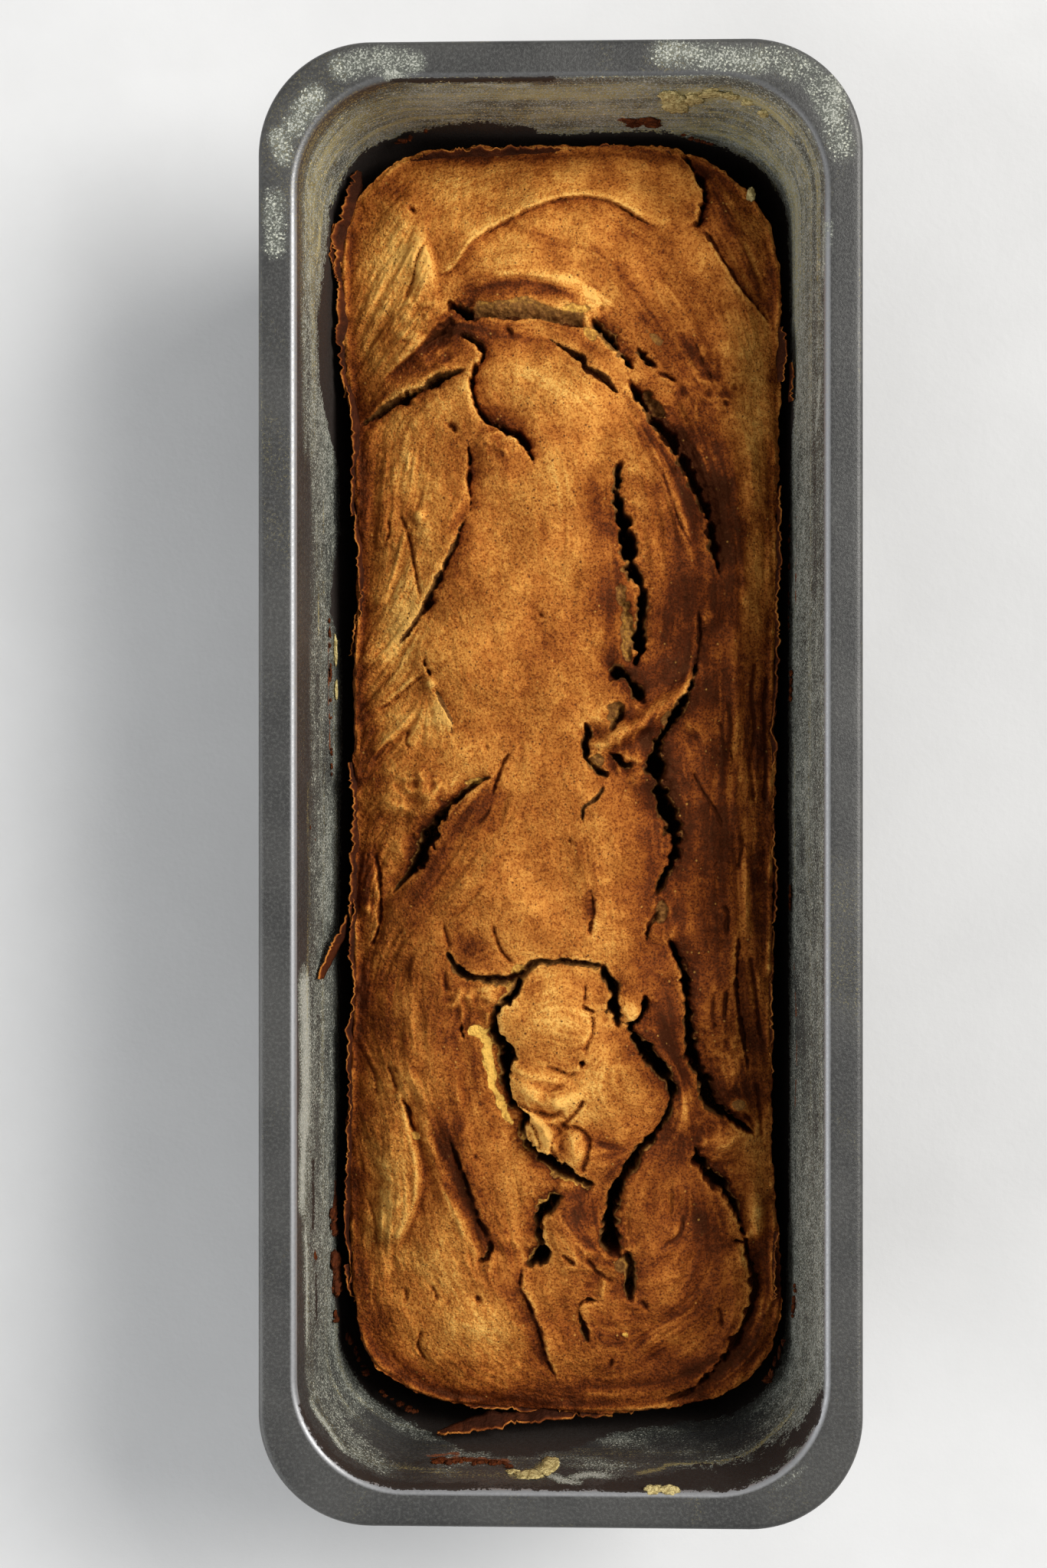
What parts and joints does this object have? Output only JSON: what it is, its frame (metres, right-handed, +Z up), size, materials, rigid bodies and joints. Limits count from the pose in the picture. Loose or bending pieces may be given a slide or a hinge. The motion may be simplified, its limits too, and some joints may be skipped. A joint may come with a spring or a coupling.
{
  "type": "cinnamon bread loaf in loaf tin",
  "caption": "Long loaf of cracked and folded cinnamon bread in its drafted loaf tin, which has round corners and a flat rim with its edge turned down.",
  "frame": {"origin": "middle of the tin's flat underside, at the bottom centre of the bounding box", "axes": "+Z up, +Y along the tin's long side, +X across it"},
  "size_m": [0.128, 0.315, 0.07],
  "materials": {
    "tin": "worn dark non-stick coating, dusted with flour and grease",
    "crust": "browned leathery bread crust",
    "torn_crust": "dry torn crust"
  },
  "bodies": {
    "root": {"tin": "tin", "loaf": "crust", "crust_scrap": "torn_crust", "crust_flake": "torn_crust"}
  },
  "joints": []
}
